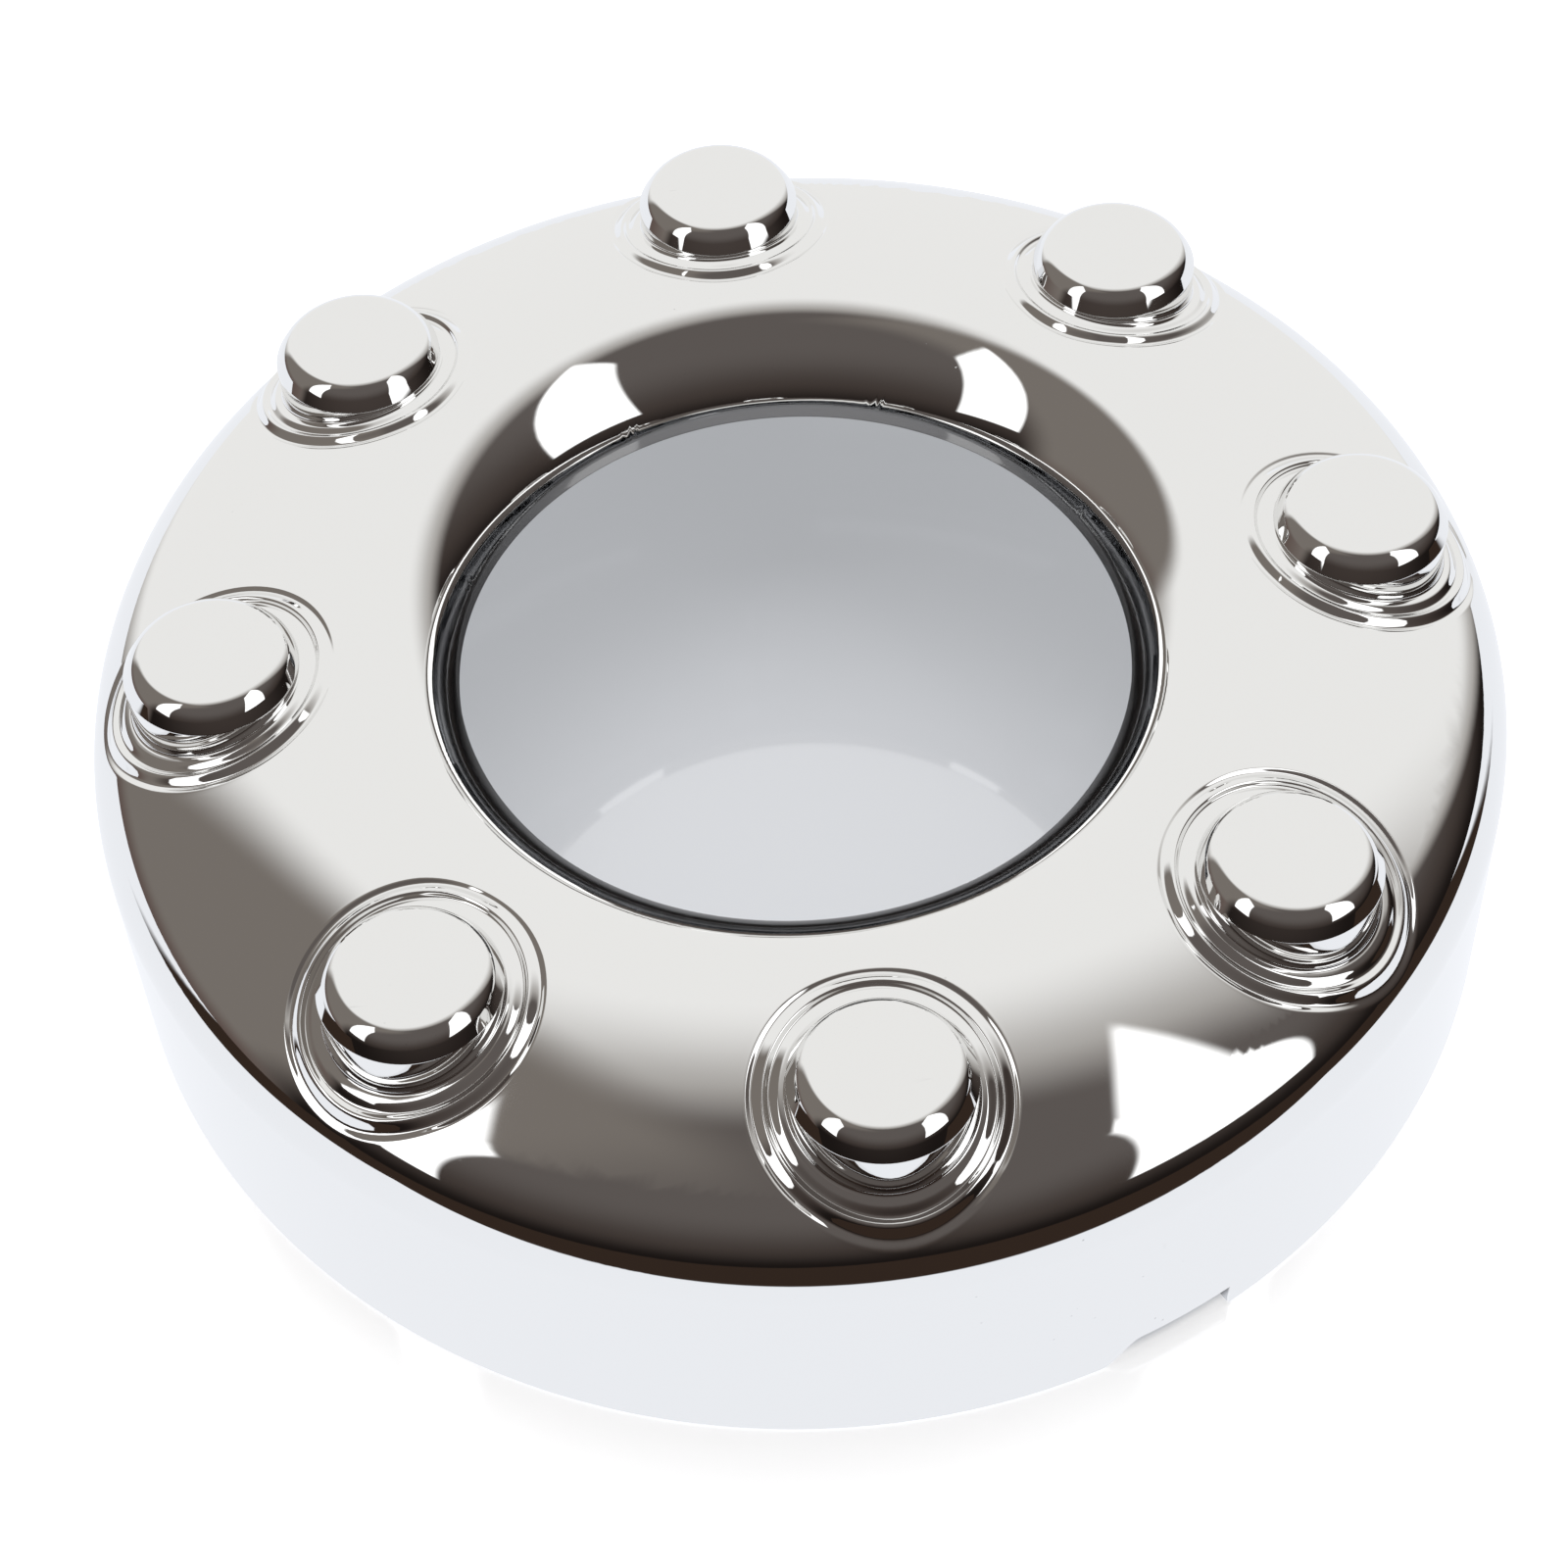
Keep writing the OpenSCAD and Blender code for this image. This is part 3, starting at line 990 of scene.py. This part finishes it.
def make_camera():
    """Camera from its fitted angles, aim and focal length."""
    forward = Vector((0, math.cos(ELEVATION), -math.sin(ELEVATION)))
    right = Vector((1, 0, 0))
    up = right.cross(forward)
    right, up = (math.cos(ROLL) * right + math.sin(ROLL) * up,
                 math.cos(ROLL) * up - math.sin(ROLL) * right)
    place = -(AIM[0] * right + AIM[1] * up + AIM[2] * forward) * MM
    data = bpy.data.cameras.new("photo_camera")
    data.sensor_width = SENSOR_MM
    data.lens = FOCAL_PX / PHOTO_PX * data.sensor_width
    data.shift_x = (PHOTO_PX / 2 - CENTRE_PX[0]) / PHOTO_PX
    data.shift_y = (CENTRE_PX[1] - PHOTO_PX / 2) / PHOTO_PX
    data.clip_start, data.clip_end = NEAREST, FARTHEST
    camera = bpy.data.objects.new("photo_camera", data)
    pose = Matrix((right, up, -forward)).transposed().to_4x4()
    pose.translation = place
    camera.matrix_world = Matrix.Rotation(LEAN, 4, "Z") @ pose
    bpy.context.scene.collection.objects.link(camera)
    bpy.context.scene.camera = camera
    return camera


camera = make_camera()
print("camera at", [round(v, 3) for v in camera.location])

# %% [markdown]
# A mirror shows the room more than itself. Real panels and walls could stand round the cap,
# but they would light it too and get in the way of other views. So the room is laid out by
# direction in the world shader. First a way to ask where a ray looks, and masks from that.

# %% Masks by direction
PANEL_EDGE = 0.012


def direction(tree, x, y, z):
    """How far the looked-at direction runs along a fixed one."""
    coord = tree.nodes.get("look") or add(tree, "ShaderNodeTexCoord", name="look")
    dot = add(tree, "ShaderNodeVectorMath", operation="DOT_PRODUCT")
    feed(tree, coord.outputs["Generated"], dot.inputs[0])
    dot.inputs[1].default_value = (x, y, z)
    return dot.outputs["Value"]


def compass(azimuth, elevation):
    """Direction from degrees: azimuth 0 is the room's front and 90 its right side."""
    a, e = math.radians(azimuth), math.radians(elevation)
    return Vector((math.sin(a) * math.cos(e), -math.cos(a) * math.cos(e), math.sin(e)))


def panel_mask(tree, corners):
    """Mask of a flat four-sided panel: a direction is on it when it is inside all four edges."""
    points = [compass(*c) for c in corners]
    mask = None
    for p, q in zip(points, points[1:] + points[:1]):
        across_edge = direction(tree, *p.cross(q).normalized())
        edge = between(tree, across_edge, -PANEL_EDGE, PANEL_EDGE)
        mask = edge if mask is None else maths(tree, "MULTIPLY", mask, edge)
    return mask


def tint_over(tree, under, colour, mask):
    """Colour laid over another where a mask says so."""
    node = add(tree, "ShaderNodeMix", data_type="RGBA")
    node.clamp_factor = True
    for socket, value in ((node.inputs["A"], under), (node.inputs["B"], colour)):
        if isinstance(value, tuple):
            socket.default_value = value
        else:
            feed(tree, value, socket)
    feed(tree, mask, node.inputs["Factor"])
    return node.outputs["Result"]


print("front of the room:", [round(v, 2) for v in compass(0, 0)])

# %% [markdown]
# The room itself, in layers: a dim brown front that is darkest near the floor, a grey ceiling,
# a white sweep behind and overhead with a grey edge, a dull wall on the left, and two tall
# softboxes that lean in from both sides. The camera itself sees plain white.

# %% Room round the cap
RIGHT_BOX = [(35, 16), (63, 13), (100, 70), (60, 65)]
LEFT_BOX = [(-76, 17), (-57, 14), (-69, 59), (-104, 69)]
FRONT_LOW, FRONT_HIGH = (0.012, 0.009, 0.008, 1), (0.055, 0.043, 0.038, 1)
FRONT_FADE = (0.0, 0.35)
CEILING, CEILING_FADE = (0.12, 0.105, 0.098, 1), (0.25, 0.85)
SWEEP_TOWARD = (0.12, 1.0, 0.62)
SWEEP_EDGE, SWEEP_EDGE_FADE = (0.42, 0.40, 0.38, 1), (0.55, 0.68)
SWEEP_WHITE, SWEEP_WHITE_FADE = (0.93, 0.925, 0.912, 1), (0.63, 0.86)
WALL_TOWARD = (-0.865, -0.470, 0.181)
LEFT_WALL, WALL_FADE, WALL_END_FADE = (0.20, 0.178, 0.16, 1), (0.27, 0.40), (-0.25, -0.02)
WALL_FOOT, WALL_FOOT_FADE = (0.12, 0.085, 0.075, 1), (-0.05, 0.25)
SOFTBOX = (1.6, 1.6, 1.6, 1)
WHITE = (1.0, 1.0, 1.0, 1)


def make_world():
    """World shader with the room for mirrored light and white for the camera."""
    world = bpy.data.worlds.new("studio_room")
    bpy.context.scene.world = world
    world.use_nodes = True
    tree = world.node_tree
    tree.nodes.clear()
    high = direction(tree, 0, 0, 1)
    back = direction(tree, 0, 1, 0)
    room = tint_over(tree, FRONT_LOW, FRONT_HIGH, between(tree, high, *FRONT_FADE))
    room = tint_over(tree, room, CEILING, between(tree, high, *CEILING_FADE))
    sweep = direction(tree, *SWEEP_TOWARD)
    room = tint_over(tree, room, SWEEP_EDGE, between(tree, sweep, *SWEEP_EDGE_FADE))
    room = tint_over(tree, room, SWEEP_WHITE, between(tree, sweep, *SWEEP_WHITE_FADE))
    toward_wall = between(tree, direction(tree, *WALL_TOWARD), *WALL_FADE)
    wall = maths(tree, "MULTIPLY", toward_wall, between(tree, back, *WALL_END_FADE))
    room = tint_over(tree, room, LEFT_WALL, wall)
    wall_foot = maths(tree, "MULTIPLY", wall, between(tree, high, *WALL_FOOT_FADE, 1.0, 0.0))
    room = tint_over(tree, room, WALL_FOOT, wall_foot)
    for box in [panel_mask(tree, corners) for corners in (RIGHT_BOX, LEFT_BOX)]:
        room = tint_over(tree, room, SOFTBOX, box)
    rays = add(tree, "ShaderNodeLightPath")
    seen = tint_over(tree, room, WHITE, rays.outputs["Is Camera Ray"])
    sky = add(tree, "ShaderNodeBackground")
    feed(tree, seen, sky.inputs["Color"])
    sky.inputs["Strength"].default_value = 1.0
    out = add(tree, "ShaderNodeOutputWorld")
    feed(tree, sky.outputs["Background"], out.inputs["Surface"])
    return world


world = make_world()
print("world:", world.name, "with", len(world.node_tree.nodes), "nodes")

# %% [markdown]
# The table is a pale, glossy board. Its front edge ends a hand's width before the cap, and the
# shoulder mirrors that as a dark line. More light would make the board white but spoil the cap,
# so the camera sees a little light of the board's own added to it. Mirrored rays see a plain
# colour: pale on the board and dark beyond its edges. Under the cap the board's colour and its
# own added light are both made darker: painted shade for the little light that comes in there.

# %% Table
TABLE_SIZE, TABLE_Z = 6.0, -0.0002
BOARD_ROUGHNESS, BOARD_IOR = 0.05, 1.9
TABLE_FRONT, TABLE_SIDE, TABLE_EDGE = -0.215, 0.30, 0.004
SIDE_END = (0.0, 0.06)
FOOTPRINT_R, FOOTPRINT_EDGE = 0.124, 0.002
PAINTED_SHADE_UNDER_CAP, OPEN_BOARD = (0.30, 0.305, 0.32, 1), (0.86, 0.87, 0.89, 1)
LIFT_PAINTED_SHADE_UNDER_CAP, LIFT_OPEN = (0.40, 0.412, 0.432, 1), (0.62, 0.62, 0.62, 1)
BEYOND_BOARD, MIRRORED_BOARD = (0.035, 0.022, 0.016, 1), (0.945, 0.965, 1.01, 1)


def make_table():
    """Board under the cap, with its own answers for the camera and for mirrored rays."""
    bpy.ops.mesh.primitive_plane_add(size=TABLE_SIZE, location=(0, 0, TABLE_Z))
    board = bpy.context.object
    board.name = "table_floor"
    material = bpy.data.materials.new("pale_table")
    material.use_nodes = True
    tree = material.node_tree
    shader = tree.nodes["Principled BSDF"]
    out = tree.nodes["Material Output"]
    shader.inputs["Roughness"].default_value = BOARD_ROUGHNESS
    shader.inputs["IOR"].default_value = BOARD_IOR
    place = add(tree, "ShaderNodeNewGeometry")
    split = add(tree, "ShaderNodeSeparateXYZ")
    feed(tree, place.outputs["Position"], split.inputs["Vector"])
    x, y = split.outputs["X"], split.outputs["Y"]
    front = between(tree, y, TABLE_FRONT - TABLE_EDGE, TABLE_FRONT + TABLE_EDGE)
    from_middle = maths(tree, "ABSOLUTE", x)
    side = between(tree, from_middle, TABLE_SIDE - TABLE_EDGE, TABLE_SIDE + TABLE_EDGE, 1.0, 0.0)
    behind = between(tree, y, *SIDE_END)
    on_board = maths(tree, "MULTIPLY", front, maths(tree, "MAXIMUM", side, behind))
    reach = add(tree, "ShaderNodeVectorMath", operation="LENGTH")
    feed(tree, place.outputs["Position"], reach.inputs[0])
    # Inside the cap's footprint the board's colour and its own light are darker: painted shade.
    outside_painted_shade = between(tree, reach.outputs["Value"], FOOTPRINT_R - FOOTPRINT_EDGE, FOOTPRINT_R)
    feed(tree, tint_over(tree, PAINTED_SHADE_UNDER_CAP, OPEN_BOARD, outside_painted_shade), shader.inputs["Base Color"])
    rays = add(tree, "ShaderNodeLightPath")
    lift = add(tree, "ShaderNodeEmission")
    feed(tree, tint_over(tree, LIFT_PAINTED_SHADE_UNDER_CAP, LIFT_OPEN, outside_painted_shade), lift.inputs["Color"])
    feed(tree, rays.outputs["Is Camera Ray"], lift.inputs["Strength"])
    lit = add(tree, "ShaderNodeAddShader")
    feed(tree, shader.outputs["BSDF"], lit.inputs[0])
    feed(tree, lift.outputs["Emission"], lit.inputs[1])
    mirrored = add(tree, "ShaderNodeEmission")
    feed(tree, tint_over(tree, BEYOND_BOARD, MIRRORED_BOARD, on_board), mirrored.inputs["Color"])
    pick = add(tree, "ShaderNodeMixShader")
    feed(tree, maths(tree, "MULTIPLY", outside_painted_shade, rays.outputs["Is Glossy Ray"]), pick.inputs["Fac"])
    feed(tree, lit.outputs[0], pick.inputs[1])
    feed(tree, mirrored.outputs["Emission"], pick.inputs[2])
    feed(tree, pick.outputs[0], out.inputs["Surface"])
    board.data.materials.append(material)
    board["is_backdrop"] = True
    return board


table = make_table()
print("table:", table.name)

# %% [markdown]
# One broad lamp overhead lights the table evenly and keeps a soft shadow under the cap. It is
# hidden from mirrored rays, because the room already holds all that the plating shows. The
# Standard view shows colours as they are written.

# %% Lamp and view
def make_lamp(name, place, size, power):
    """Broad lamp that looks at the middle of the cap's base."""
    data = bpy.data.lights.new(name, "AREA")
    data.shape = "RECTANGLE"
    data.size, data.size_y = size
    data.energy = power
    lamp = bpy.data.objects.new(name, data)
    lamp.location = place
    lamp.rotation_euler = (-Vector(place)).to_track_quat("-Z", "Y").to_euler()
    lamp.visible_glossy = False
    bpy.context.scene.collection.objects.link(lamp)
    return lamp


overhead = make_lamp("overhead_panel", place=(0.0, 0.35, 1.3), size=(1.2, 1.0), power=9.0)
bpy.context.scene.view_settings.view_transform = "Standard"
print("lamp:", overhead.name)

# %% Finish
looks_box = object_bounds()
for label, box in (("solid", cad_box), ("looks", looks_box)):
    print(label, "box:", [[round(c, 4) for c in v] for v in box])
